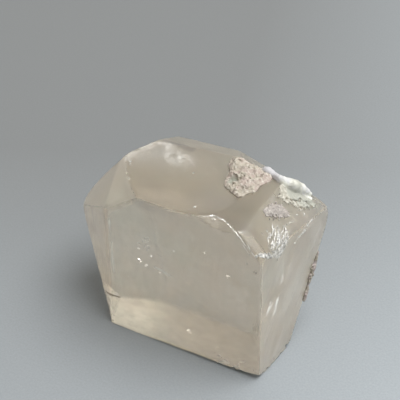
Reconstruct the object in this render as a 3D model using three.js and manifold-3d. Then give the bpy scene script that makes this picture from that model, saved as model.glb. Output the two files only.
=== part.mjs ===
// A broken pale topaz crystal, about 42 mm long, lying on its cleaved base, with four patches of crust left
// by the matrix it grew in. Millimetres, +Z up. The origin is the middle of the footprint, on the ground;
// the broad front face looks along -Y and the cleaved end along +X.

import * as THREE from 'three';
import { mergeVertices } from 'three/addons/utils/BufferGeometryUtils.js';
import Module from 'manifold-3d';

const wasm = await Module();
wasm.setup();

// Driving dimensions, mm

// The crystal's heart, from which every face is measured, and the rough block that the faces are cut from
const heart = new THREE.Vector3(0, 0, 15);
const blockSide = 120;

// The long shallow hollow in the top
const dish = { x: -0.9, y: -4.2, length: 22.5, width: 19.2, depth: 1.8 };

// The shell-shaped chip in the top front edge, centred at x, z on the front face
const rimChip = { x: 10.5, z: 31.4, slope: 42, radius: 8.4, depth: 0.8 };

// Clear of the crystal under each crust, and between crusts
const crustGap = 0.3;

const up = new THREE.Vector3(0, 0, 1);

// Faces of the crystal: the compass angle and the slope of each outward normal, in degrees (0 = +X, 90 = +Y;
// slope 90 = straight up), and the distance from the heart to the face, in mm.
const faces = {
  base: { turn: 0, slope: -90, reach: heart.z },
  front: { turn: 270, slope: 0, reach: 11.9 },
  back: { turn: 86, slope: -3, reach: 10.3 },
  cleavedEnd: { turn: 352, slope: 1, reach: 19.25 },
  top: { turn: 90, slope: 86.5, reach: 16.05 },
  topBackBevel: { turn: 100, slope: 61, reach: 15.95 },
  leftFront: { turn: 233, slope: 0.5, reach: 15.7 },
  leftUndercut: { turn: 189.5, slope: -24.3, reach: 17.4 },
  leftShoulder: { turn: 207.5, slope: 31.5, reach: 18.5 },
  leftTopBevel: { turn: 218.5, slope: 45.5, reach: 18.95 },
  leftBackBevel: { turn: 158, slope: 34, reach: 17.1 },
  backFoot: { turn: 92, slope: -25.8, reach: 13.95 },
  backRightFoot: { turn: 33, slope: -17.6, reach: 18.83 },
  backLeftFoot: { turn: 129, slope: -11, reach: 12.75 },
  frontFoot: { turn: 281, slope: -56.5, reach: 19.9 },
  rightCornerBreak: { turn: 0, slope: 40.5, reach: 21.4 },
  rightBackBevel: { turn: 68, slope: 50.5, reach: 16.8 },
  frontCornerSlope: { turn: 324, slope: 83.5, reach: 18.05 },
  frontCornerBreak: { turn: 324, slope: 34, reach: 23.75 },
};

function normalOf({ turn, slope }) {
  const polar = THREE.MathUtils.degToRad(90 - slope);
  const around = THREE.MathUtils.degToRad(turn);
  return new THREE.Vector3(
    Math.sin(polar) * Math.cos(around),
    Math.sin(polar) * Math.sin(around),
    Math.cos(polar),
  );
}

// Joining and cutting

function solidOf(geometry) {
  const shape = geometry.clone();
  shape.deleteAttribute('normal');
  shape.deleteAttribute('uv');
  const closed = mergeVertices(shape, 1e-4);
  return new wasm.Manifold(new wasm.Mesh({
    numProp: 3,
    vertProperties: new Float32Array(closed.attributes.position.array),
    triVerts: new Uint32Array(closed.index.array),
  }));
}

function geometryOf(solid) {
  const mesh = solid.getMesh();
  const geometry = new THREE.BufferGeometry();
  geometry.setAttribute('position', new THREE.BufferAttribute(new Float32Array(mesh.vertProperties), 3));
  geometry.setIndex(new THREE.BufferAttribute(new Uint32Array(mesh.triVerts), 1));
  geometry.computeVertexNormals();
  return geometry;
}

// A ball of the given radius, stretched along its own X, squashed along its own Z, and laid with that Z
// along the normal
function ballAt(centre, radius, { stretch = 1, squash = 1, normal = up, detail = 2 } = {}) {
  const ball = new THREE.IcosahedronGeometry(radius, detail);
  const lay = new THREE.Quaternion().setFromUnitVectors(up, normal);
  ball.scale(stretch, 1, squash);
  ball.applyQuaternion(lay);
  ball.translate(centre.x, centre.y, centre.z);
  return solidOf(ball);
}

// The crystal

// Everything beyond one face, as a block whose inner side lies in the face
function beyondFace(face, clearance) {
  const normal = normalOf(face);
  const block = new THREE.BoxGeometry(blockSide, blockSide, blockSide);
  block.applyQuaternion(new THREE.Quaternion().setFromUnitVectors(up, normal));
  const middle = normal.clone().multiplyScalar(face.reach + clearance + blockSide / 2).add(heart);
  block.translate(middle.x, middle.y, middle.z);
  return solidOf(block);
}

// A long ball that takes the hollow out of the top: its radius follows from the hollow's width and depth
function dishBall(clearance) {
  const radius = (dish.width ** 2 / 4 + dish.depth ** 2) / (2 * dish.depth);
  const topNormal = normalOf(faces.top);
  const centre = new THREE.Vector3(dish.x, dish.y, 0);
  centre.z = heart.z + (faces.top.reach - topNormal.dot(centre)) / topNormal.z;
  centre.addScaledVector(topNormal, radius - dish.depth);
  return ballAt(centre, radius - clearance, { stretch: dish.length / dish.width, detail: 40 });
}

// A ball that takes the chip out of the edge between the front face and the front corner
function rimChipBall(clearance) {
  const centre = new THREE.Vector3(rimChip.x, -faces.front.reach, rimChip.z);
  const outward = normalOf({ turn: faces.front.turn, slope: rimChip.slope });
  centre.addScaledVector(outward, rimChip.radius - rimChip.depth);
  return ballAt(centre, rimChip.radius - clearance, { detail: 14 });
}

// The whole crystal; a clearance moves its surface outwards, for cutting what lies on it
function crystalSolid(clearance = 0) {
  let solid = solidOf(new THREE.BoxGeometry(blockSide, blockSide, blockSide));
  for (const face of Object.values(faces)) {
    solid = solid.subtract(beyondFace(face, clearance));
  }
  return solid.subtract(dishBall(clearance)).subtract(rimChipBall(clearance));
}

// The crusts

// Repeatable random numbers from 0 to 1
function seededRandom(seed) {
  let state = seed;
  return () => {
    state = (state * 16807) % 2147483647;
    return state / 2147483647;
  };
}

// Overlapping flattened lumps scattered along a path; a clearance makes every lump larger
function lumpsOf({ path, normal, width, lumpRadius, squash, lumps, seed }, clearance = 0) {
  const random = seededRandom(seed);
  const curve = new THREE.CatmullRomCurve3(path.map((point) => new THREE.Vector3(...point)));
  let solid = null;
  for (let index = 0; index < lumps; index += 1) {
    const along = index / (lumps - 1);
    const sideways = curve.getTangentAt(along).cross(normal).normalize();
    const centre = curve.getPointAt(along).addScaledVector(sideways, (random() - 0.5) * width);
    const radius = lumpRadius * (0.8 + 0.4 * random());
    const lump = ballAt(centre, radius + clearance, { squash, normal });
    solid = solid ? solid.add(lump) : lump;
  }
  return solid;
}

const crusts = {
  pink_granular_crust: {
    colour: 0xcdb9a8,
    path: [[10.1, -1.7, 31.2], [8.3, -0.4, 31.1], [7.3, 1.7, 31.0], [8.8, 2.8, 30.9], [11.0, 2.2, 30.9]],
    normal: normalOf(faces.top),
    width: 2.4,
    lumpRadius: 1.75,
    squash: 0.6,
    lumps: 14,
    seed: 11,
  },
  white_chalky_crust: {
    colour: 0xe4e0d4,
    path: [[11.3, 4.9, 30.0], [13.8, 4.3, 30.0], [16.9, 5.9, 28.0]],
    normal: normalOf(faces.rightBackBevel),
    width: 0.6,
    lumpRadius: 1.35,
    squash: 0.9,
    lumps: 9,
    seed: 23,
  },
  small_pink_crust: {
    colour: 0xc9bab0,
    path: [[15.3, -4.6, 30.2], [15.8, -2.9, 29.7], [16.5, -1.6, 28.9]],
    normal: normalOf(faces.rightCornerBreak),
    width: 0.5,
    lumpRadius: 1.1,
    squash: 0.55,
    lumps: 6,
    seed: 5,
  },
  brown_edge_crust: {
    colour: 0x9c8068,
    path: [[20.0, 7.2, 15.8], [19.7, 4.9, 11.4], [19.4, 2.9, 7.4]],
    normal: normalOf(faces.backRightFoot),
    width: 0.5,
    lumpRadius: 1.0,
    squash: 0.8,
    lumps: 10,
    seed: 17,
  },
};

// A crust is cut clear of the crystal's surface and of the crusts before it
function crustSolid(name) {
  const names = Object.keys(crusts);
  let solid = lumpsOf(crusts[name]).subtract(crystalSolid(crustGap));
  for (const earlier of names.slice(0, names.indexOf(name))) {
    solid = solid.subtract(lumpsOf(crusts[earlier], crustGap));
  }
  return solid;
}

// Assembly

const topaz = new THREE.Mesh(
  geometryOf(crystalSolid()),
  new THREE.MeshStandardMaterial({ color: 0xa8a08e, roughness: 0.15, metalness: 0 }),
);
topaz.name = 'topaz_crystal';

const specimen = new THREE.Group();
specimen.add(topaz);
for (const [name, crust] of Object.entries(crusts)) {
  const piece = new THREE.Mesh(
    geometryOf(crustSolid(name)),
    new THREE.MeshStandardMaterial({ color: crust.colour, roughness: 0.95, metalness: 0 }),
  );
  piece.name = name;
  specimen.add(piece);
}

// The origin goes to the middle of the footprint
const middle = new THREE.Box3().setFromObject(specimen).getCenter(new THREE.Vector3());
specimen.position.set(-middle.x, -middle.y, 0);
specimen.updateMatrixWorld(true);

export default specimen;
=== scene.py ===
# A broken crystal of pale topaz, 42 mm long, with patches of mineral crust, lying on its cleaved base.
import math
import random

import bmesh
import bpy
import numpy as np
from mathutils import Matrix, Vector, noise
from mathutils.bvhtree import BVHTree


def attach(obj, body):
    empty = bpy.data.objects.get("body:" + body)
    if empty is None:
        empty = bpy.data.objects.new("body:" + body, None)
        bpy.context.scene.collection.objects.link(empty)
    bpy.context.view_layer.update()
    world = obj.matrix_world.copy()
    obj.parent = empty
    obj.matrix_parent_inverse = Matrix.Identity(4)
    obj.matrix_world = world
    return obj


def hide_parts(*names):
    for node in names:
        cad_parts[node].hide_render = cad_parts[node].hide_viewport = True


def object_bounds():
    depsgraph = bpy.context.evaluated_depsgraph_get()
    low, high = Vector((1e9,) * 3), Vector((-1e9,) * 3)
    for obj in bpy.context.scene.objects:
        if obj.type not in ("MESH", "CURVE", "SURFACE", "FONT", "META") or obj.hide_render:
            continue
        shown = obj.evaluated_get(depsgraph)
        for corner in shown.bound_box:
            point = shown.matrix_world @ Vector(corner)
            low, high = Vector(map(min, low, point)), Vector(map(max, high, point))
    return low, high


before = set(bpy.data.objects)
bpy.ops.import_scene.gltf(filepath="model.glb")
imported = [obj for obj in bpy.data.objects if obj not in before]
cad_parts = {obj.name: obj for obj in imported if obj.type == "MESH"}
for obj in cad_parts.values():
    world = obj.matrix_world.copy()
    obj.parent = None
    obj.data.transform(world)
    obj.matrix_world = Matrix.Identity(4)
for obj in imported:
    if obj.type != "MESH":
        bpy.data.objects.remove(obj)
cad_low, cad_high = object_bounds()
scene = bpy.context.scene
MM = 0.001


# Camera: looks down on the front right corner, close and with a long lens.
camera = bpy.data.objects.new("camera", bpy.data.cameras.new("camera"))
scene.collection.objects.link(camera)
scene.camera = camera
view_turn = math.radians(27.5)
view_rise = math.radians(40)
view_centre = Vector((-5.4, 11.65, 13)) * MM
view_distance = 191
towards_camera = Vector((
    math.sin(view_turn) * math.cos(view_rise),
    -math.cos(view_turn) * math.cos(view_rise),
    math.sin(view_rise),
))
camera.location = view_centre + towards_camera * view_distance * MM
camera.rotation_mode = "QUATERNION"
camera.rotation_quaternion = towards_camera.to_track_quat("Z", "Y")
camera.data.sensor_width = 36
camera.data.lens = 94.5
camera.data.clip_start = 0.01
camera.data.clip_end = 10


# Stage: a wide grey table top, with painted light in its colour: it grows lighter towards the front and the
# right.
# Soft daylight comes from a window overhead, to the right and slightly behind, and from a pale wall on the
# right, and a faint light from behind the camera. The pale room is dimmer towards the front left.
scene.view_settings.view_transform = "Standard"
scene.cycles.max_bounces = 20
scene.cycles.transmission_bounces = 20
scene.cycles.transparent_max_bounces = 20
scene.cycles.caustics_refractive = True
scene.cycles.caustics_reflective = True

room = bpy.data.worlds.new("room")
scene.world = room
room.use_nodes = True
room_nodes = room.node_tree.nodes
room_links = room.node_tree.links
walls = room_nodes["Background"]
walls.inputs["Color"].default_value = (0.90, 0.86, 0.775, 1)
looking = room_nodes.new("ShaderNodeTexCoord")
bright_side = room_nodes.new("ShaderNodeVectorMath")
bright_side.operation = "DOT_PRODUCT"
bright_side.inputs[1].default_value = (0.6, 0.8, 0)
dimming = room_nodes.new("ShaderNodeMapRange")
dimming.inputs["From Min"].default_value = -1
dimming.inputs["To Min"].default_value = 0.28
dimming.inputs["To Max"].default_value = 0.92
room_links.new(looking.outputs["Generated"], bright_side.inputs[0])
room_links.new(bright_side.outputs["Value"], dimming.inputs["Value"])
room_links.new(dimming.outputs[0], walls.inputs["Strength"])


def soft_light(name, place, power, colour):
    """A broad round light at place, in metres, that faces the crystal."""
    lamp = bpy.data.lights.new(name, "AREA")
    lamp.shape = "DISK"
    lamp.size = 0.9
    lamp.energy = power
    lamp.color = colour
    light = bpy.data.objects.new(name, lamp)
    light.location = place
    light.rotation_mode = "QUATERNION"
    light.rotation_quaternion = Vector(place).to_track_quat("Z", "Y")
    scene.collection.objects.link(light)


daylight = (0.97, 0.99, 1.0)
warm_light = (1.0, 0.98, 0.94)
soft_light("window", (0.38, 0.13, 1.18), power=16.4, colour=daylight)
soft_light("pale_wall", (0.95, -0.2, 0.75), power=2.2, colour=daylight)
soft_light("room_behind_camera", (0.2, -0.95, 0.85), power=1.2, colour=warm_light)


class Finish:
    """A material with a Principled shader, and short ways to add nodes to it."""

    def __init__(self, name, **settings):
        self.material = bpy.data.materials.new(name)
        self.material.use_nodes = True
        self.tree = self.material.node_tree
        self.shader = self.tree.nodes["Principled BSDF"]
        self.output = self.tree.nodes["Material Output"]
        self.set(**settings)

    def set(self, **sockets):
        """Sets sockets of the shader to values, or joins them to other nodes' outputs."""
        for name, value in sockets.items():
            self.join(value, self.shader.inputs[name.replace("_", " ")])

    def node(self, kind, settings=None, **inputs):
        """A new node with its settings, and with its inputs set to values or joined to other nodes' outputs.

        An input is called by its name, or by its number after an underscore."""
        new = self.tree.nodes.new("ShaderNode" + kind)
        for name, value in (settings or {}).items():
            setattr(new, name, value)
        for name, value in inputs.items():
            socket = int(name[1:]) if name[1:].isdigit() else name.replace("_", " ")
            self.join(value, new.inputs[socket])
        return new

    def join(self, value, socket):
        """Links an output to a socket, or sets the socket to a value."""
        if isinstance(value, bpy.types.NodeSocket):
            self.tree.links.new(value, socket)
        elif isinstance(value, bpy.types.Node):
            self.tree.links.new(value.outputs[0], socket)
        else:
            socket.default_value = value

    def place(self):
        """The point's place in the object, in metres."""
        return self.node("TexCoord").outputs["Object"]

    def marks(self, size, detail=3, stretch=(1, 1, 1)):
        """Cloudy noise from 0 to 1, with marks size millimetres wide, stretched along each axis."""
        scale = tuple(1 / (size * MM * longer) for longer in stretch)
        grid = self.node("Mapping", Vector=self.place(), Scale=scale)
        spots = self.node("TexNoise", Vector=grid, Scale=1.0, Detail=detail, Roughness=0.6)
        return spots.outputs["Fac"]

    def ramp(self, value, start, end, low=0.0, high=1.0):
        """Runs from low at start to high at end, and no further."""
        run = self.node("MapRange", Value=value, From_Min=start, From_Max=end, To_Min=low, To_Max=high)
        return run.outputs[0]

    def blend(self, share, first, second):
        """A mix of two colours, from the first at 0 to the second at 1."""
        mix = self.node("Mix", {"data_type": "RGBA"}, _0=share)
        for colour, socket in ((first, mix.inputs[6]), (second, mix.inputs[7])):
            self.join((*colour, 1) if isinstance(colour, tuple) else colour, socket)
        return mix.outputs[2]

    def blotches(self, size, start, end, first, second, detail=3):
        """The first colour, with cloudy blotches of the second."""
        return self.blend(self.ramp(self.marks(size, detail), start, end), first, second)

    def dark_pits_and_shade(self, start, end, tone, dark):
        """A colour that turns to the dark one in the piece's dents: partly the crust's own darker pits,
        partly painted shade in the hollows.
        """
        return self.blend(self.ramp(self.painted("dent"), start, end), tone, dark)

    def sums(self, operation, first, second):
        """Two numbers added, subtracted or multiplied."""
        return self.node("Math", {"operation": operation}, _0=first, _1=second).outputs[0]

    def painted(self, name):
        """The number painted on the piece's points under that name."""
        return self.node("Attribute", {"attribute_name": name}).outputs["Fac"]

    def bumps(self, height, depth):
        """Small relief, depth millimetres deep."""
        bump = self.node("Bump", Height=height, Distance=depth * MM)
        self.set(Normal=bump.outputs[0])


table_mesh = bmesh.new()
below_crystal = (0, 0, -0.02 * MM)
bmesh.ops.create_grid(table_mesh, x_segments=1, y_segments=1, size=1.5)
bmesh.ops.translate(table_mesh, vec=below_crystal, verts=table_mesh.verts)
table_top = bpy.data.objects.new("table_top", bpy.data.meshes.new("table_top"))
table_mesh.to_mesh(table_top.data)
table_mesh.free()
scene.collection.objects.link(table_top)
laminate = Finish("table_top", Roughness=0.65)


def towards(direction, start, end, high):
    """Rises from 0 to high across the table top, between two distances in that direction, in metres."""
    reach = laminate.node("VectorMath", {"operation": "DOT_PRODUCT"}, _0=laminate.place(), _1=direction)
    return laminate.ramp(reach.outputs["Value"], start, end, 0, high)


# Painted light: the table's colour grows lighter towards the front and the right, standing in for the room's
# uneven light
to_front = towards((0.377, -0.926, 0), start=-0.0428, end=0.0572, high=0.65)
to_right = towards((0.965, 0.261, 0), start=-0.0047, end=0.0953, high=0.786)
painted_light_falloff = laminate.sums("ADD", to_front, to_right)
table_tone = laminate.blend(painted_light_falloff, (0.184, 0.193, 0.2), (0.37, 0.409, 0.446))
speckles = laminate.ramp(laminate.marks(0.35, 2), 0.35, 0.7, 0, 0.16)
table_tone = laminate.blend(speckles, table_tone, (0.12, 0.12, 0.12))
laminate.set(Base_Color=table_tone)
laminate.bumps(laminate.marks(0.4), 0.02)
table_top.data.materials.append(laminate.material)


# The crystal: one grown piece of clear pale topaz. Its faces are crystal faces and cleavages; the top was
# scooped by a shell-shaped break, and the right end is a stepped cleavage. Years of knocks have frosted it.
def mesh_of_node(name):
    """A copy of a CAD node's mesh in millimetres, with its loose triangles joined."""
    copy = bmesh.new()
    copy.from_mesh(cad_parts[name].data)
    bmesh.ops.scale(copy, vec=(1 / MM,) * 3, verts=copy.verts)
    bmesh.ops.remove_doubles(copy, verts=copy.verts, dist=0.001)
    return copy


def new_piece(name, shape):
    """A new object of a bmesh in millimetres, linked at the origin."""
    data = bpy.data.meshes.new(name)
    shape.to_mesh(data)
    shape.free()
    piece = bpy.data.objects.new(name, data)
    scene.collection.objects.link(piece)
    return piece


def remesh(piece, grain):
    """Turns closed, overlapping shapes into one even mesh of squares, grain millimetres wide."""
    step = piece.modifiers.new("even", "REMESH")
    step.mode = "VOXEL"
    step.voxel_size = grain
    step.use_smooth_shade = True
    shown = bpy.context.evaluated_depsgraph_get()
    data = bpy.data.meshes.new_from_object(piece.evaluated_get(shown), depsgraph=shown)
    piece.modifiers.clear()
    piece.data = data


def points_of(piece):
    """The places and outward directions of a piece's points, as two arrays, in the mesh's own unit."""
    count = len(piece.data.vertices)
    places, directions = np.zeros(count * 3), np.zeros(count * 3)
    piece.data.vertices.foreach_get("co", places)
    piece.data.vertex_normals.foreach_get("vector", directions)
    return places.reshape(-1, 3), directions.reshape(-1, 3)


def settle(piece, places):
    """Puts a piece's points at places given in millimetres, kept inside the CAD model's box, in metres."""
    places = np.clip(places * MM, np.array(cad_low), np.array(cad_high))
    piece.data.vertices.foreach_set("co", places.ravel())
    piece.data.update()


def paint(piece, name, values):
    """Keeps one number from 0 to 1 for each point of a piece, for its material to read."""
    layer = piece.data.attributes.new(name, "FLOAT", "POINT")
    layer.data.foreach_set("value", np.clip(values, 0, 1).astype(np.float32))


def smooth_step(values, start, end):
    """Runs smoothly from 0 at start to 1 at end."""
    share = np.clip((values - start) / (end - start), 0, 1)
    return share * share * (3 - 2 * share)


def facing(directions, *faces):
    """How much each point lies on one of the faces, from 0 to 1; a face is its compass angle and slope."""
    surely_on, surely_off = 9, 18
    share = np.zeros(len(directions))
    for turn, slope in faces:
        turn, slope = math.radians(turn), math.radians(slope)
        normal = (math.cos(slope) * math.cos(turn), math.cos(slope) * math.sin(turn), math.sin(slope))
        angle = np.degrees(np.arccos(np.clip(directions @ np.array(normal), -1, 1)))
        share = np.maximum(share, 1 - smooth_step(angle, surely_on, surely_off))
    return share


def rough_noise(places, size, seed, octaves):
    """Fractal noise from about -1 to 1 at each place; size is the width of its marks in mm, on each axis."""
    shift = seed * 17.3
    spots = places / np.array(size) + shift
    return np.array([noise.fractal(spot, 0.6, 2.0, octaves) for spot in spots.tolist()])


def near(places, centre, radius, stretch=(1, 1, 1)):
    """From 1 at a place to 0 at radius millimetres from it, or further off on an axis that is stretched."""
    distance = np.linalg.norm((places - np.array(centre)) / np.array(stretch), axis=1)
    return 1 - smooth_step(distance, 0, radius)


def near_line(places, line, inner, outer):
    """1 within inner millimetres of a line of points, 0 beyond outer."""
    closest = np.full(len(places), 1e9)
    for start, end in zip(line, line[1:]):
        start, run = np.array(start), np.array(end) - np.array(start)
        share = np.clip((places - start) @ run / (run @ run), 0, 1)
        closest = np.minimum(closest, np.linalg.norm(places - start - share[:, None] * run, axis=1))
    return 1 - smooth_step(closest, inner, outer)


def spread_out(piece, values, passes):
    """Evens a number or a place kept on each point with its neighbours', half way with each pass."""
    edges = np.zeros(len(piece.data.edges) * 2, int)
    piece.data.edges.foreach_get("vertices", edges)
    ends = np.concatenate((edges.reshape(-1, 2), edges.reshape(-1, 2)[:, ::-1]))
    count = np.bincount(ends[:, 0], minlength=len(values))
    rows = values.reshape(len(values), -1).T.copy()
    for _ in range(passes):
        for row in rows:
            row += 0.5 * (np.bincount(ends[:, 0], row[ends[:, 1]], len(row)) / count - row)
    return rows.T.reshape(values.shape)


def dents(piece, passes=3):
    """How deep each point lies in a dent, in the mesh's own unit: below 0 on bumps and edges."""
    places, directions = points_of(piece)
    return ((spread_out(piece, places, passes) - places) * directions).sum(1)


crystal = new_piece("topaz_crystal_surface", mesh_of_node("topaz_crystal"))
remesh(crystal, grain=0.24)
places, directions = points_of(crystal)
front = facing(directions, (270, 0))
front_foot = facing(directions, (281, -56.5))
left_front = facing(directions, (233, 0.5))
left_undercut = facing(directions, (189.5, -24.3))
left_bevels = facing(directions, (218.5, 45.5), (207.5, 31.5))
back = facing(directions, (86, -3), (92, -25.8), (33, -17.6))
back_left = facing(directions, (129, -11))
back_bevels = facing(directions, (158, 34), (100, 61), (68, 50.5))
cleaved = facing(directions, (352, 1))
corner_break = facing(directions, (0, 40.5))
base = facing(directions, (0, -90))
top = smooth_step(directions[:, 2], 0.85, 0.95)


def on_front(*spots):
    """Places on the flat front face, each from its x and z."""
    front_y = -11.7
    return [(x, front_y, z) for x, z in spots]


# Edges are gently worn, more so at the outer corners, down the left front edge, along the scoop's left rim
# and along the top of the cleaved end. The broken corner runs smoothly into the top
corner_crease = ((14.2, 3, 31), (14.2, 0.5, 31), (13.8, -6, 31.4), (14, -8.8, 31.2))
scoop_rim = ((-10.6, -4.1, 30.8), (-9.2, -6.3, 30.9), (-7.4, -9, 30.9), (-5.6, -10.8, 30.9))
left_front_edge = ((-10.4, -11.6, 9), (-10.4, -11.6, 26.6), (-6, -11.3, 30.1))
right_edge = ((18.2, -3.5, 26), (19.4, 3.3, 24.9), (20.1, 8.8, 23.8))
blunt_corners = ((20.1, 8.8, 23.8), (-20.5, -2.7, 19), (-13.5, -2, 29.5), (-10, 2.5, 31))
wear = sum(near(places, corner, 4) for corner in blunt_corners)
wear += near_line(places, corner_crease, 0.5, 3.5)
wear += near_line(places, left_front_edge, 0.3, 1.5)
wear += 0.4 * near_line(places, scoop_rim, 0.2, 1)
wear += near_line(places, right_edge, 0.3, 1.5)
light_wear = spread_out(crystal, places, passes=5)
heavy_wear = spread_out(crystal, places, passes=90)
worn = light_wear + np.clip(wear, 0, 1)[:, None] * (heavy_wear - light_wear)

# The lower edge of the front is a fresh cleavage edge, and is still sharp. It stands a little clear of the
# ground, and more so towards the right
foot_edge = on_front((-10.7, 0), (18, 0))
worn += 0.25 * near_line(places, foot_edge, 0.4, 1.0)[:, None] * directions
foot_gap = 0.1 + 0.45 * smooth_step(places[:, 0], -7, 9)
faces_out_or_down = directions[:, 2] < 0.1
worn[:, 2] += foot_gap * near_line(places, foot_edge, 0.1, 0.9) * faces_out_or_down
settle(crystal, worn)

# Cleavage steps rise towards the back across the right end, growth lines run up the left front and the back,
# and the lower edge is chipped on the right
places, directions = points_of(crystal)
places /= MM
cleavage_slant = math.radians(55)
along = places @ np.array((0, math.cos(cleavage_slant), math.sin(cleavage_slant)))
across = places @ np.array((0, math.sin(cleavage_slant), -math.cos(cleavage_slant)))
cleavage_frame = np.stack((across, along, 0 * across), 1)
steps = rough_noise(cleavage_frame, (2.4, 11, 1), seed=1, octaves=3)
streaks = rough_noise(cleavage_frame, (0.8, 3.5, 1), seed=9, octaves=2)
growth_lines = rough_noise(places, (0.7, 0.7, 9), seed=2, octaves=2)
swells = rough_noise(places, (7, 7, 7), seed=3, octaves=2)
fine = rough_noise(places, (1.1, 1.1, 1.1), seed=4, octaves=2)
scuffs = rough_noise(places, (0.45, 1.0, 9), seed=6, octaves=3)
from_blow = np.linalg.norm(places - np.array((16, 6, 27)), axis=1)
shell_rings = np.sin(from_blow * 2.6 + 3 * swells)
right_break = corner_break * smooth_step(places[:, 1], -6.5, -3.5)
relief = (
    cleaved * (-0.05 + 0.08 * steps + 0.006 * streaks)
    + left_front * (-0.03 + 0.05 * growth_lines)
    + (back + back_left) * (-0.05 + 0.09 * growth_lines)
    + right_break * (-0.10 + 0.08 * shell_rings + 0.05 * fine)
    - 0.02 + 0.04 * swells
)
bottom_edge = ((9, -11.7, 0.2), (17.8, -11.7, 1.2), (18.2, -9.9, 0), (19.2, -2.1, 0), (19.8, 4, 0))
chipped = near_line(places, bottom_edge, 0.3, 1.6)
right_foot = near_line(places, bottom_edge[2:], 0.3, 1.3)
relief -= chipped * np.maximum(0, 0.5 * fine - 0.05) + 0.5 * right_foot * np.maximum(0, fine)
settle(crystal, places + directions * np.minimum(relief, 0)[:, None])

# The surface's wear and painted light, from 0 to 1: frost blurs, bruises, scratches and a painted reflection
# whiten, stains and painted shade darken, and a blush warms
cloudy_rim = ((-11.5, -2.7, 31), (-10.8, 0.3, 31), (-9.9, 2.1, 31), (-8.8, 2.9, 30.9), (-7.2, 3.4, 30.7))
top_side = smooth_step(places[:, 2], 29, 30)
rim_cloud = near_line(places, cloudy_rim, 0, 1.8) * top_side
cloud_patch = near(places, (-3.9, 1.5, 30), 3.4, (1.2, 0.7, 1)) * top_side
haze_line = ((-9.5, -0.6, 30.6), (-7.2, 1.2, 30.3), (-4.2, 0.8, 30))
faint_cloud = near_line(places, haze_line, 0, 4.5) * top_side
front_rim = ((4, -11.7, 31.2), (8.2, -11, 31.7), (11, -11.2, 31.4), (13.4, -11.7, 30.3), (15.5, -11.7, 27.1))
crease_band = near_line(places, corner_crease, 1.5, 3) * np.clip(1 - top - corner_break, 0, 1)
frost = (
    0.07 + 0.43 * base + 0.9 * back + 0.85 * back_left + 0.4 * back_bevels + 0.3 * cleaved
    + 0.3 * left_bevels + 0.05 * left_front + 0.3 * left_undercut + 0.32 * top
    + 0.3 * corner_break + 0.32 * crease_band + 0.15 * faint_cloud
    + 0.3 * near(places, (14, -10.3, 31.1), 1.8)
)
paint(crystal, "frost", frost)
hollowness = dents(crystal, passes=5) / MM
edges = smooth_step(-spread_out(crystal, hollowness, passes=4), 0.01, 0.05)
clean_rims = near_line(places, front_rim, 0.8, 1.6) + near_line(places, scoop_rim, 0.8, 1.6)
edges = np.clip(edges * (1 - clean_rims - 0.8 * cleaved), 0, 1)
scuffed = smooth_step(scuffs, -0.5, 0.4)
pits = near(places, (-7.95, 2.1, 30.6), 1.1) + near(places, (-5.1, 1.6, 30.1), 1.0)
wisp = on_front((-1.5, 17.6), (-0.2, 17.4), (1.2, 16.9))
crumbs = on_front((9.6, 2.6), (11, 1.9), (13, 1.4), (15, 3.2), (17.2, 2.4))
struck_fan = ((16.6, -4.4, 28.4), (17.2, -6.2, 27.2), (17.7, -8.2, 25.8))
cleavage_marks = (
    ((18.3, -6.7, 15.4), (18.2, -7.5, 12.4)), ((17.9, -8.8, 15.9), (17.9, -9.6, 14.0)),
    ((18.4, -5.2, 19.4), (18.3, -5.7, 18.0)), ((18.1, -7.2, 19.6), (18.1, -7.4, 18.8)),
)
right_marks = sum(near_line(places, line, 0.1, 0.5) for line in cleavage_marks)
left_knocks = on_front((-9.6, 24.2), (-9.4, 21.4), (-9.9, 18.5), (-9.4, 13))
lower_right_end = 1 - smooth_step(places[:, 2], 9, 20)
left_foot = 1 - smooth_step(places[:, 2], 5.3, 6.5)
# Painted light on the base: it is whiter towards the left, standing in for the bright reflection seen in it
# from inside, and painted darker towards the right as shade
base_left_painted_light = smooth_step(-places[:, 0] - 0.1 * places[:, 1], 2, 7)

# Bruises of whole faces come first, with painted light on the base and an opaque front foot, then those of
# rims and clouds, and single knocks last
bruise_and_painted_light = (
    0.07 - 0.05 * base + 0.25 * back + 0.25 * back_left - 0.03 * back_bevels
    + (0.03 + 0.08 * lower_right_end) * cleaved + 0.08 * left_bevels
    # The front foot facet, hidden from the camera, is made opaque to deepen the table's shadow beneath it: a
    # shade blocker
    + 0.075 * front + 2 * front_foot - 0.06 * top
    + 0.08 * left_front + 0.45 * left_undercut + 0.02 * right_break
    + 0.22 * (left_front + left_undercut) * left_foot
    + 0.1 * (back + back_left) * smooth_step(swells + growth_lines, -0.8, 0.8)
    + 0.08 * cleaved * smooth_step(swells + 0.5 * steps, -0.2, 0.8)
    # The base's whiter left is a painted reflection
    + base * (0.5 + 0.3 * base_left_painted_light)
)
bruise_and_painted_light += (
    0.12 * edges * smooth_step(fine, -0.8, 0.8)
    + (0.24 * rim_cloud + 0.30 * cloud_patch + 0.08 * faint_cloud) * (0.3 + 0.7 * scuffed) * (1 - pits)
    + 0.4 * chipped * smooth_step(fine, 0, 0.6)
    + 0.08 * near(places, (6.5, -6.5, 30), 7) * top_side
    + 0.04 * front * near(places, (14.5, -11.7, 22), 9)
    + 0.06 * near(places, (13.2, -11.7, 17), 5, (1, 1, 0.8))
    + 0.10 * near(places, (-4, -11.7, 22), 9, (1, 1, 0.8))
    # The base along the front edge is made opaque too, to deepen the shadow on the table beneath it
    + 0.5 * base * near_line(places, foot_edge, 1, 2.5)
)
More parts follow.
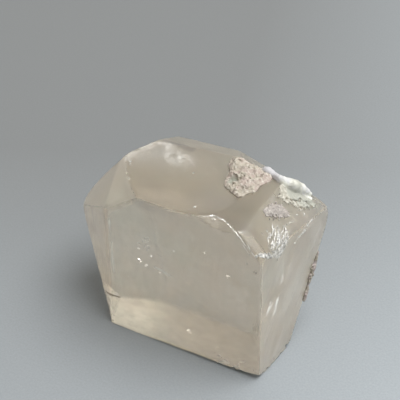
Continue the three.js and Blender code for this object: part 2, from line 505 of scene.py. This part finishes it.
bruise_and_painted_light += (
    0.4 * cleaved * near(places, (18.1, -8, 14.6), 2.8, (1, 0.7, 1)) * smooth_step(streaks, 0, 0.5)
    + 0.5 * right_marks * smooth_step(fine, -0.4, 0.3)
    + 0.3 * near_line(places, wisp, 0.05, 0.4)
    + 0.13 * near_line(places, crumbs, 0.1, 0.9) * smooth_step(fine, 0, 0.5)
    + 0.12 * near_line(places, struck_fan, 0.3, 1.7) * smooth_step(fine, -0.6, 0.5)
    + 0.5 * near_line(places, left_knocks, 0.1, 0.8) * smooth_step(growth_lines, 0, 0.4)
)
paint(crystal, "bruise_and_painted_light", bruise_and_painted_light)
paint(crystal, "scratched", np.clip(0.8 * rim_cloud + cloud_patch, 0, 1) * (1 - pits))
dark_back_rim = ((-9.7, 5.5, 29.4), (-6.4, 4.6, 30.2), (-3.2, 4.3, 30.4))
under_front_rim = ((8, -11, 31.2), (14, -11, 30.6), (15.5, -10.7, 29.2))
# Real stains on whole faces, mixed with painted shade on the base, over the top's front and under the front
# rim
stain_and_shade = (
    0.12 * (back + back_left + left_undercut + back_bevels)
    + 0.22 * top + 0.14 * cleaved + 0.3 * corner_break
    # Painted shade: the base is darker towards the right, and the front foot facet is darkened to deepen the
    # table's shadow
    + base * smooth_step(places[:, 0], -7, 0) + front_foot
    # Painted shade over the front of the top, which dims the base's glow seen through it
    + near(places, (-2.6, -8.6, 30.2), 8, (1, 0.8, 1)) * top_side
    + 0.8 * near_line(places, dark_back_rim, 0.3, 1.1)
    # Painted shade on the chip facet under the front rim
    + 0.3 * near_line(places, under_front_rim, 1, 2.5) * (1 - front)
)
paint(crystal, "stain_and_shade", stain_and_shade)
blush = left_front + 0.6 * front * smooth_step(places[:, 0], 0, 13) + 0.1 * top
paint(crystal, "blush", blush)

topaz = Finish("topaz", IOR=1.62, Coat_Weight=0.4, Coat_Roughness=0.2, Coat_IOR=1.5)
mottle = topaz.ramp(topaz.marks(3.5, 3), 0.25, 0.75, -0.5, 0.6)
long_marks = topaz.marks(0.35, 4, stretch=(2.5, 0.8, 1))
scratches = topaz.ramp(long_marks, 0.44, 0.58, -0.1, 0.28)
scratches = topaz.sums("MULTIPLY", topaz.painted("scratched"), scratches)
whitening_share = topaz.sums("ADD", topaz.painted("bruise_and_painted_light"), scratches)
milky = topaz.sums("MULTIPLY", whitening_share, topaz.sums("ADD", 1.0, mottle))
milky = topaz.ramp(milky, 0, 1, 0.0, 0.95)
topaz.set(Transmission_Weight=topaz.sums("SUBTRACT", 1.0, milky))
frosted = topaz.sums("ADD", topaz.painted("frost"), topaz.sums("MULTIPLY", mottle, 0.05))
topaz.set(Roughness=topaz.ramp(frosted, 0, 1, 0.02, 0.9))
clear_tone = topaz.blotches(9, 0.4, 0.6, (0.93, 0.93, 0.89), (0.96, 0.91, 0.87), detail=2)
clear_tone = topaz.blend(topaz.painted("blush"), clear_tone, (1.0, 0.87, 0.77))
# The stains and painted shade darken the clear tone and the milky tone alike
clear_tone = topaz.blend(topaz.painted("stain_and_shade"), clear_tone, (0.55, 0.52, 0.54))
milky_tone = topaz.blend(topaz.painted("stain_and_shade"), (0.94, 0.93, 0.88), (0.56, 0.53, 0.44))
topaz.set(Base_Color=topaz.blend(whitening_share, clear_tone, milky_tone))
topaz.bumps(topaz.marks(0.35, 4), 0.02)
tint = topaz.node("VolumeAbsorption", Color=(0.93, 0.84, 0.64, 1), Density=17.0)
topaz.join(tint, topaz.output.inputs["Volume"])
crystal.data.materials.append(topaz.material)
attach(crystal, "root")
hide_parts("topaz_crystal")


# Splinters: where the right front corner was struck, the broken edge is a mat of fine white topaz splinters
# that hold on to the crystal, in a fan that narrows down to a blunt lip. Thin ones also lift along the other
# breaks.
skin = BVHTree.FromObject(crystal, bpy.context.evaluated_depsgraph_get())


def on_crystal(place):
    """The nearest place on the crystal's surface, in millimetres, and the outward direction there."""
    spot, outward, _, _ = skin.find_nearest(Vector(place) * MM)
    return spot / MM, outward


def jitter(width):
    """A small random shift, about width millimetres along each axis."""
    return Vector([chance.gauss(0, width) for _ in "xyz"])


def in_patch(corners, side, down):
    """A place on a four-cornered patch: side runs from its first corner to its second, down to the others."""
    top_left, top_right, low_right, low_left = [Vector(corner) for corner in corners]
    return top_left.lerp(top_right, side).lerp(low_left.lerp(low_right, side), down)


def stretched_ball(shape, middle, lay, size, detail=1):
    """Adds a ball to a shape, as wide as size along its own three axes, turned by the rotation lay."""
    made = bmesh.ops.create_icosphere(shape, subdivisions=detail, radius=0.5)["verts"]
    stretch = Matrix.Diagonal((*size, 1))
    bmesh.ops.transform(shape, matrix=Matrix.Translation(middle) @ lay.to_4x4() @ stretch, verts=made)


def splinter(shape, middle, direction, length, width):
    """Adds a slim flattened spindle to a shape."""
    lay = Vector(direction).to_track_quat("Z", "Y").to_matrix()
    stretched_ball(shape, middle, lay, (width, width * 0.6, length))


def strand(shape, line, width, length, scatter):
    """Lays slim overlapping splinters on the crystal along a line of places, with some gaps."""
    gap_share = 0.3
    for start, end in zip(line, line[1:]):
        start, end = Vector(start), Vector(end)
        count = math.ceil((end - start).length / length * 2)
        for index in range(count):
            if chance.random() < gap_share:
                continue
            middle = start.lerp(end, (index + 0.5) / count) + jitter(scatter)
            run = (end - start).normalized() + jitter(0.12)
            this_length = length * chance.uniform(0.7, 1.4)
            this_width = width * chance.uniform(0.6, 1.3)
            splinter(shape, on_crystal(middle)[0], run, this_length, this_width)


chance = random.Random(11)
fan = bmesh.new()
fan_corners = ((16.0, -6.4, 28.9), (18.0, -3.1, 26.7), (18.0, -6.9, 24.4), (17.5, -9.6, 26.8))
fibre_run = Vector((0.0, -0.85, -0.53))
splinter_count = 240
combed, tangled = 0.1, 0.8
for _ in range(splinter_count):
    down, side = chance.random() ** 0.75, chance.random() ** 0.8
    middle = in_patch(fan_corners, side, down) + jitter(0.45 * (1 - down))
    spot, outward = on_crystal(middle)
    lay = combed if chance.random() < 0.6 else tangled
    run = fibre_run + jitter(lay)
    run -= outward * run.dot(outward) * 0.8
    spot += outward * chance.uniform(0, 0.2)
    length = chance.uniform(0.4, 1.7) * (1.3 - lay)
    splinter(fan, spot, run, length, chance.uniform(0.05, 0.13))

# Coarser fibres in the fan, and thin ones along the broken corner's edges: line, width, length, scatter
fibres = (
    (((18.2, -3.6, 26.2), (18.2, -5.9, 25.1), (18.0, -7.2, 24.3)), 0.26, 1.4, 0.05),
    (((18.0, -4.0, 26.4), (18.1, -6.1, 25.2), (17.9, -7.5, 24.4)), 0.22, 1.4, 0.05),
    (((17.7, -4.3, 26.8), (17.7, -6.4, 25.9), (17.7, -8, 25.2)), 0.16, 1.2, 0.05),
    (((16.5, -5.6, 28.3), (16.4, -8, 28.4), (17.2, -9, 27.4), (17.5, -8.8, 26.6)), 0.2, 0.8, 0.05),
    (((15.95, -5.3, 28.95), (16.3, -5.9, 28.5)), 0.2, 0.7, 0.05),
    (((15.7, -7.0, 29.2), (15.9, -7.3, 28.9)), 0.25, 0.4, 0.05),
    (((15.5, -8.3, 29.5), (15.95, -8.3, 28.95)), 0.2, 0.5, 0.05),
    (((17.0, -3.6, 27.7), (17.3, -2.6, 27.4), (17.8, -0.3, 26.8)), 0.18, 0.35, 0.18),
    (((17.3, 0.7, 27.3), (17.9, 0.9, 26.7)), 0.2, 0.5, 0.05),
    (((17.4, 1.4, 27.2), (17.7, 2.2, 26.9), (18.3, 2.4, 26.2), (18.4, 1.9, 26.1)), 0.16, 0.5, 0.05),
    (((19.4, 3.3, 24.9), (19.3, 2.1, 24.4), (19, 0.1, 24.1)), 0.35, 0.6, 0.12),
    (((19, 0.1, 24.1), (18.7, -1.8, 24.1)), 0.2, 0.4, 0.2),
    (((17.4, -10.3, 26.7), (17.6, -9.4, 26.2), (17.7, -8.5, 25.7)), 0.36, 0.7, 0.1),
)
for line, width, length, scatter in fibres:
    strand(fan, line, width, length, scatter)
blunt_lip = ((16.3, -11.1, 27.5), (17.2, -10.4, 27.1), (17.7, -9.5, 26.5))
for width in (0.7, 0.8, 0.9):
    strand(fan, blunt_lip, width, length=0.6, scatter=0.16)

# Where the rim was chipped, slivers lie along the lips of the chips, and a few small chips dot the top
shell_lips = (
    ((7.7, -10.8, 31.7), (8.2, -10.4, 31.7), (8.7, -10.3, 31.7), (9.4, -10.4, 31.6), (10.1, -10.4, 31.5),
     (10.9, -10.7, 31.4), (11.7, -11, 31.2), (12.6, -11.5, 31), (13.4, -11.7, 30.3), (14.1, -11.7, 29.6),
     (14.7, -11.7, 28.8)),
    ((8.4, -10.9, 31.5), (9.1, -10.9, 31.4)),
    ((14.1, -11.7, 29), (14.7, -11.7, 28.2), (15.2, -11.7, 27.6), (15.5, -11.7, 27.1)),
    ((14.8, -11.6, 29.2), (15.3, -11.7, 28.4), (15.9, -11.7, 27.7)),
)
for lip in shell_lips:
    strand(fan, lip, width=0.1, length=1.3, scatter=0.03)
small_chips = (
    ((-10.2, -3.7, 30.7), 0.3), ((-10, -4.1, 30.7), 0.25), ((-0.4, -0.3, 29.6), 0.35),
    ((4.4, -8.9, 30.7), 0.4), ((-8.3, -7.3, 30.7), 0.2), ((4.1, -10.1, 30.9), 0.2),
)
for place, width in small_chips:
    for _ in range(4):
        spot = on_crystal(Vector(place) + jitter(width * 0.3))[0]
        run = (chance.random(), chance.random(), 0.1)
        splinter(fan, spot, run, length=width, width=width * 0.6)
splinters = new_piece("corner_splinters", fan)
settle(splinters, points_of(splinters)[0])
struck = Finish("struck_topaz", IOR=1.62, Coat_Weight=0.5, Coat_Roughness=0.05, Roughness=0.3)
sparkle = struck.marks(0.3, 2)
struck.set(Transmission_Weight=struck.ramp(sparkle, 0.4, 0.6, 0.4, 0.0))
struck_tone = struck.blotches(0.5, 0.4, 0.6, (0.30, 0.295, 0.28), (0.86, 0.85, 0.82))
struck.set(Base_Color=struck_tone)
struck.bumps(sparkle, 0.05)
splinters.data.materials.append(struck.material)
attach(splinters, "root")


# Inside the crystal: small open cleavage cracks lie near the front face and under the chipped rim. Each is a
# thin film of air, which throws light back like a mirror. A dark brown sliver also lies near the left foot.
mirror_tilt = Vector((0.23, -0.48, 0.85))
cracks_y, foremost_y = -11.3, -11.5
film_thickness, rim_film_thickness = 0.05, 0.04
flakes_shape = bmesh.new()
flake_places = (
    ((-4.4, 17.7), 0.8), ((-3.3, 17.1), 0.5), ((-4.5, 20.4), 0.35), ((-0.7, 16.6), 0.3), ((4.4, 5.3), 0.5),
    ((4.9, 5.0), 0.3), ((14.7, 25.3), 0.5), ((16.3, 24.1), 0.7), ((11.6, 21.1), 0.45), ((-2.2, 19.6), 0.35),
    ((-9.3, 7.6), 0.5), ((2.0, 22.5), 0.3), ((7.5, 24.5), 0.3), ((10.0, 4.1), 0.3), ((-6.9, 13.0), 0.25),
)
for (x, z), width in flake_places:
    for _ in range(5):
        middle = Vector((x, cracks_y, z)) + jitter(width * 0.3)
        middle.y = max(middle.y, foremost_y)
        lay = (mirror_tilt + jitter(0.12)).to_track_quat("Z", "Y").to_matrix()
        size = (width * chance.uniform(0.4, 1), width * chance.uniform(0.3, 0.8), film_thickness)
        stretched_ball(flakes_shape, middle, lay, size, detail=2)
rim_tilt = Vector((0.35, -0.28, 0.90))
for lip in shell_lips:
    for start, end in zip(lip, lip[1:]):
        run = Vector(end) - Vector(start)
        for _ in range(2):
            middle = Vector(start).lerp(Vector(end), chance.random()) + jitter(0.05)
            tilt = rim_tilt + jitter(0.08)
            side = run.cross(tilt).normalized()
            lay = Matrix((run.normalized(), side, tilt.normalized())).transposed()
            size = (run.length * chance.uniform(0.5, 1.1), chance.uniform(0.08, 0.18), rim_film_thickness)
            stretched_ball(flakes_shape, on_crystal(middle)[0], lay, size, detail=2)
flakes = new_piece("cleavage_flakes", flakes_shape)
settle(flakes, points_of(flakes)[0])
air_film = Finish("air_film", Metallic=1.0)
air_film.set(Roughness=air_film.ramp(air_film.marks(0.3), 0.35, 0.65, 0.2, 0.45))
film_tone = air_film.blend(air_film.marks(0.5), (0.95, 0.94, 0.92), (0.80, 0.78, 0.74))
air_film.set(Base_Color=film_tone)
flakes.data.materials.append(air_film.material)
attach(flakes, "root")

# A dark brown sliver just behind the front face, near the left foot
sliver_shape = bmesh.new()
sliver_places = (
    ((-12.0, -10.1, 5.9), 1.1), ((-11.2, -10.7, 6.4), 1.2),
    ((-10.3, -11.3, 7.0), 1.4), ((-9.2, -11.35, 7.2), 1.1),
)
for place, width in sliver_places:
    stretched_ball(sliver_shape, place, Matrix.Identity(3), (width, 0.6, 0.35), detail=3)
dark_sliver = new_piece("dark_sliver", sliver_shape)
settle(dark_sliver, points_of(dark_sliver)[0])
sliver_paint = Finish("dark_sliver", Roughness=0.8)
sliver_tone = sliver_paint.blend(sliver_paint.marks(0.5), (0.18, 0.14, 0.09), (0.34, 0.28, 0.20))
sliver_paint.set(Base_Color=sliver_tone)
dark_sliver.data.materials.append(sliver_paint.material)
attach(dark_sliver, "root")


# Pink granular crust: a porous scab of sugary feldspar and mica grains, left on the top by the rock that the
# crystal grew from. It is thin at its border and in a few hollows, and the largest hollow is grey.
def lumps(shape, grains, detail=1):
    """Adds overlapping balls to a shape: each grain is its place and radius."""
    for place, radius in grains:
        at = Matrix.Translation(place)
        bmesh.ops.create_icosphere(shape, subdivisions=detail, radius=radius, matrix=at)


def inside_outline(x, y, outline):
    """Whether a place lies inside a closed outline."""
    inside = False
    for (x1, y1), (x2, y2) in zip(outline, outline[1:] + outline[:1]):
        if (y1 > y) != (y2 > y) and x < (x2 - x1) * (y - y1) / (y2 - y1) + x1:
            inside = not inside
    return inside


def outline_distance(x, y, outline):
    """How far a place lies from a closed outline."""
    place, nearest = Vector((x, y)), math.inf
    for start, end in zip(outline, outline[1:] + outline[:1]):
        start, run = Vector(start), Vector(end) - Vector(start)
        share = min(max((place - start).dot(run) / run.dot(run), 0), 1)
        nearest = min(nearest, (place - start - run * share).length)
    return nearest


def part_way(line, widths, index, share):
    """The place, and the width there, at a share of the way from one of a line's points to the next."""
    place = Vector(line[index]).lerp(Vector(line[index + 1]), share)
    return place, widths[index] * (1 - share) + widths[index + 1] * share


def scattered(line, widths, count, height, radii):
    """Grains scattered on the crystal along a line, as far out as its widths, and height times as high."""
    grains = []
    for _ in range(count):
        at = chance.random() * (len(line) - 1.001)
        middle, width = part_way(line, widths, int(at), at % 1)
        middle += Vector([chance.triangular(-width, width) for _ in "xyz"])
        spot, outward = on_crystal(middle)
        grains.append((spot + outward * chance.uniform(-0.05, height) * width, chance.uniform(*radii)))
    return grains


def granular(piece, grain, size, depth, seed, wear=1):
    """Joins a piece's lumps at that grain, wears them, roughens them with marks of that size and depth, and
    paints how deep each point lies in a dent, for the material to darken as pits and painted shade."""
    remesh(piece, grain)
    places, directions = points_of(piece)
    places = spread_out(piece, places, passes=wear)
    relief = depth * rough_noise(places, (size, size, size), seed, octaves=4)
    settle(piece, places + directions * relief[:, None])
    paint(piece, "dent", smooth_step(dents(piece) / MM, -0.03, 0.07))


pink_outline = [
    (5.8, -1.9), (5.2, -0.3), (5.2, 1.3), (4.4, 2.6), (4.3, 3.5), (4.7, 4.7), (5.5, 5.4), (6.5, 4.8),
    (7.4, 4.4), (8.6, 4.1), (9.7, 4.1), (11, 4.2), (11.9, 3.4), (12.2, 2.7), (12.2, 1.5), (11.6, 0.5),
    (11.5, -1.1), (11.4, -2.4), (10.8, -2.6), (10.4, -3.4), (9.9, -4.5), (9.3, -4.3), (8, -3.3), (6.5, -2.4),
]
grey_hollow = (6.8, -0.7)
pink_hollows = (
    (grey_hollow, 1.1), ((9.5, -3.2), 0.7), ((7.2, 1.0), 0.5), ((10.6, 1.6), 0.5), ((7.9, 2.8), 0.5),
)


def pink_thickness(x, y):
    """How high the pink crust stands at a place: thin at its border and in its hollows."""
    thickness = 0.4 + 0.6 * min(outline_distance(x, y, pink_outline) / 0.8, 1)
    for (hollow_x, hollow_y), radius in pink_hollows:
        thickness *= min(1, 0.1 + 0.9 * (math.hypot(x - hollow_x, y - hollow_y) / radius) ** 2)
    return thickness * (0.85 + 0.7 * noise.noise(Vector((x, y, 0)) * 0.8))


pink_shape = bmesh.new()
chance = random.Random(23)
body_grains, all_grains = 1300, 2400
above_top = 31
grains = []
while len(grains) < all_grains:
    x, y = chance.uniform(4.2, 12.3), chance.uniform(-4.6, 5.5)
    if not inside_outline(x, y, pink_outline):
        continue
    spot, outward = on_crystal((x, y, above_top))
    rise = pink_thickness(x, y)
    radius = min(chance.uniform(0.22, 0.36), 0.12 + outline_distance(x, y, pink_outline))
    if len(grains) < body_grains:
        grains.append((spot + outward * chance.random() ** 0.5 * max(rise - radius, 0), radius))
    else:
        grains.append((spot + outward * (rise + chance.uniform(-0.2, 0.05)), chance.uniform(0.1, 0.17)))
lumps(pink_shape, grains)
pink_crust = new_piece("pink_crust", pink_shape)
granular(pink_crust, grain=0.09, size=0.7, depth=0.06, seed=5, wear=5)
places, _ = points_of(pink_crust)
places /= MM
from_hollow = np.hypot(places[:, 0] - grey_hollow[0], places[:, 1] - grey_hollow[1])
paint(pink_crust, "hollow", 1 - smooth_step(from_hollow, 0.5, 1.1))
pink = Finish("pink_crust", Roughness=0.85)
pink_tone = pink.blotches(1.8, 0.42, 0.58, (0.40, 0.36, 0.30), (0.40, 0.33, 0.295))
pink_tone = pink.blotches(0.5, 0.5, 0.68, pink_tone, (0.56, 0.525, 0.47))
# Darker in the dents: the crust's own pits, with painted shade in its hollows
pink_tone = pink.dark_pits_and_shade(0.4, 1.1, pink_tone, (0.28, 0.235, 0.19))
pink_tone = pink.blend(pink.painted("hollow"), pink_tone, (0.33, 0.33, 0.28))
pink.set(Base_Color=pink_tone)
pink.bumps(pink.marks(0.2, 3), 0.04)
pink_crust.data.materials.append(pink.material)
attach(pink_crust, "root")
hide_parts("pink_granular_crust")


# White chalky crust: smooth swollen lobes of white clay along the back edge, with a thin greenish grey glassy
# skin below them on the broken corner, and a border of cream grains. The lobes' left end is faintly lavender.
white_shape = bmesh.new()
chance = random.Random(31)
lobe_line = (
    (10.3, 3.9, 31.2), (11.1, 3.7, 31.3), (12.2, 3.5, 31.1), (13.3, 3.1, 31.2), (14.3, 3.1, 30.8),
    (15, 3.6, 30.3), (15.7, 4.2, 29.7), (16.4, 5, 28.9), (17.1, 5.6, 28.1), (17.7, 6.2, 27.2),
)
lobe_radii = (0.5, 0.75, 0.45, 0.5, 0.75, 0.9, 0.95, 0.8, 0.5, 0.3)
balls_between = 7
grains = []
for index in range(len(lobe_line) - 1):
    for step in range(balls_between):
        middle, radius = part_way(lobe_line, lobe_radii, index, step / balls_between)
        middle += jitter(0.02)
        grains.append((middle, radius * chance.uniform(0.96, 1)))
        grains.append((middle.lerp(on_crystal(middle)[0], 0.5), radius * chance.uniform(0.8, 0.84)))
lumps(white_shape, grains, detail=3)
skin_corners = ((13.9, 1.9, 30.9), (17.5, 6.3, 27), (18.4, 5.6, 26.1), (14.8, -0.3, 30.3))
skin_tries = 900
grains = []
for _ in range(skin_tries):
    side, down = chance.random(), chance.random()
    spot, outward = on_crystal(in_patch(skin_corners, side, down))
    border = min(max(1 - 5 * side, 3 * down - 2 + 1.2 * side, 0), 1)
    if border and chance.random() < 0.4:
        continue
    radius = chance.uniform(0.12, 0.24) if border else 0.26
    grains.append((spot + outward * chance.uniform(-0.08, 0.3 * border), radius))
lumps(white_shape, grains)
grain_border = ((14.5, -0.2, 30.6), (16, 0.9, 28.8), (17.3, 2.9, 27.2), (18.9, 5.9, 25.5))
border_widths = (0.7, 0.8, 0.9, 0.7)
lumps(white_shape, scattered(grain_border, border_widths, count=240, height=0.3, radii=(0.08, 0.2)))
white_crust = new_piece("white_crust", white_shape)
granular(white_crust, grain=0.1, size=0.9, depth=0.05, seed=8, wear=2)
places, _ = points_of(white_crust)
places /= MM
lobes = near_line(places, lobe_line, 0.75, 1.0)
paint(white_crust, "lobe", lobes)
paint(white_crust, "lavender", 1 - smooth_step(places[:, 0], 12.5, 14.5))
skin_start, skin_back_end, _, skin_low_end = [Vector(corner) for corner in skin_corners]
from_start = places - np.array(skin_start)
down_skin = from_start @ np.array((skin_low_end - skin_start).normalized())
along_skin = from_start @ np.array((skin_back_end - skin_start).normalized())
grey_skin = smooth_step(-down_skin, -1.7, -1.2) * smooth_step(along_skin, 0.8, 1.6)
paint(white_crust, "grey_skin", (1 - lobes) * grey_skin)
chalk = Finish("white_crust")
grain_tone = chalk.blotches(0.5, 0.45, 0.62, (0.36, 0.34, 0.29), (0.56, 0.535, 0.475))
grain_tone = chalk.blend(chalk.painted("grey_skin"), grain_tone, (0.39, 0.39, 0.345))
lobe_tone = chalk.blotches(1.6, 0.42, 0.58, (0.57, 0.57, 0.57), (0.71, 0.71, 0.645), detail=2)
lobe_tone = chalk.blend(chalk.painted("lavender"), lobe_tone, (0.50, 0.49, 0.51))
chalk_tone = chalk.blend(chalk.painted("lobe"), grain_tone, lobe_tone)
# Darker in the dents: the crust's own pits, with painted shade in its hollows
chalk_tone = chalk.dark_pits_and_shade(0.6, 1.0, chalk_tone, (0.46, 0.43, 0.37))
chalk.set(Base_Color=chalk_tone)
chalk.set(Roughness=chalk.ramp(chalk.painted("grey_skin"), 0, 1, 0.75, 0.3))
chalk.bumps(chalk.marks(0.2, 3), 0.03)
white_crust.data.materials.append(chalk.material)
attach(white_crust, "root")
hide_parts("white_chalky_crust")


# Small pink crust: a thin sugary patch of fine pinkish grey grains on the broken corner, above the splinters.
# It is widest in its middle.
small_shape = bmesh.new()
chance = random.Random(41)
small_line = ((14.5, -4.8, 30.6), (15, -3.9, 30.1), (15.4, -2.8, 29.6), (15.9, -1.9, 29), (16.6, -1.2, 28.2))
small_widths = (0.5, 1.2, 1.3, 1.1, 0.7)
lumps(small_shape, scattered(small_line, small_widths, count=800, height=0.3, radii=(0.1, 0.2)))
small_crust = new_piece("small_crust", small_shape)
granular(small_crust, grain=0.09, size=0.4, depth=0.06, seed=13)
sugar = Finish("small_crust", Roughness=0.7)
sugar_tone = sugar.blotches(0.9, 0.42, 0.58, (0.295, 0.265, 0.25), (0.35, 0.315, 0.29))
sugar_tone = sugar.blotches(0.35, 0.52, 0.66, sugar_tone, (0.50, 0.465, 0.435), detail=2)
# Darker in the dents: the crust's own pits, with painted shade in its hollows
sugar_tone = sugar.dark_pits_and_shade(0.5, 1.0, sugar_tone, (0.34, 0.30, 0.28))
sugar.set(Base_Color=sugar_tone)
sugar.bumps(sugar.marks(0.12, 3), 0.04)
small_crust.data.materials.append(sugar.material)
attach(small_crust, "root")
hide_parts("small_pink_crust")


# Brown edge crust: a thin rusty rim of iron-stained grains down the back edge of the cleaved end, in two
# swellings with a narrow neck between them.
brown_shape = bmesh.new()
chance = random.Random(53)
brown_line = (
    (20, 5.7, 16), (19.9, 4.7, 14.2), (19.9, 4.2, 13), (19.8, 3.6, 11.8), (19.8, 2.9, 10.3), (20, 2.5, 9),
    (19.8, 2, 7.8),
)
brown_widths = (0.2, 0.6, 0.9, 0.8, 0.2, 0.9, 0.6)
lumps(brown_shape, scattered(brown_line, brown_widths, count=600, height=0.6, radii=(0.12, 0.24)))
brown_crust = new_piece("brown_crust", brown_shape)
granular(brown_crust, grain=0.1, size=0.7, depth=0.08, seed=21, wear=4)
rust = Finish("brown_crust", Roughness=0.85)
rust_tone = rust.blotches(1.5, 0.42, 0.58, (0.24, 0.22, 0.18), (0.33, 0.28, 0.27))
rust_tone = rust.blotches(0.5, 0.52, 0.68, rust_tone, (0.42, 0.38, 0.34))
# Darker in the dents: the crust's own pits, with painted shade in its hollows
rust_tone = rust.dark_pits_and_shade(0.5, 1.0, rust_tone, (0.24, 0.21, 0.17))
rust.set(Base_Color=rust_tone)
rust.bumps(rust.marks(0.15, 3), 0.05)
brown_crust.data.materials.append(rust.material)
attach(brown_crust, "root")
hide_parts("brown_edge_crust")
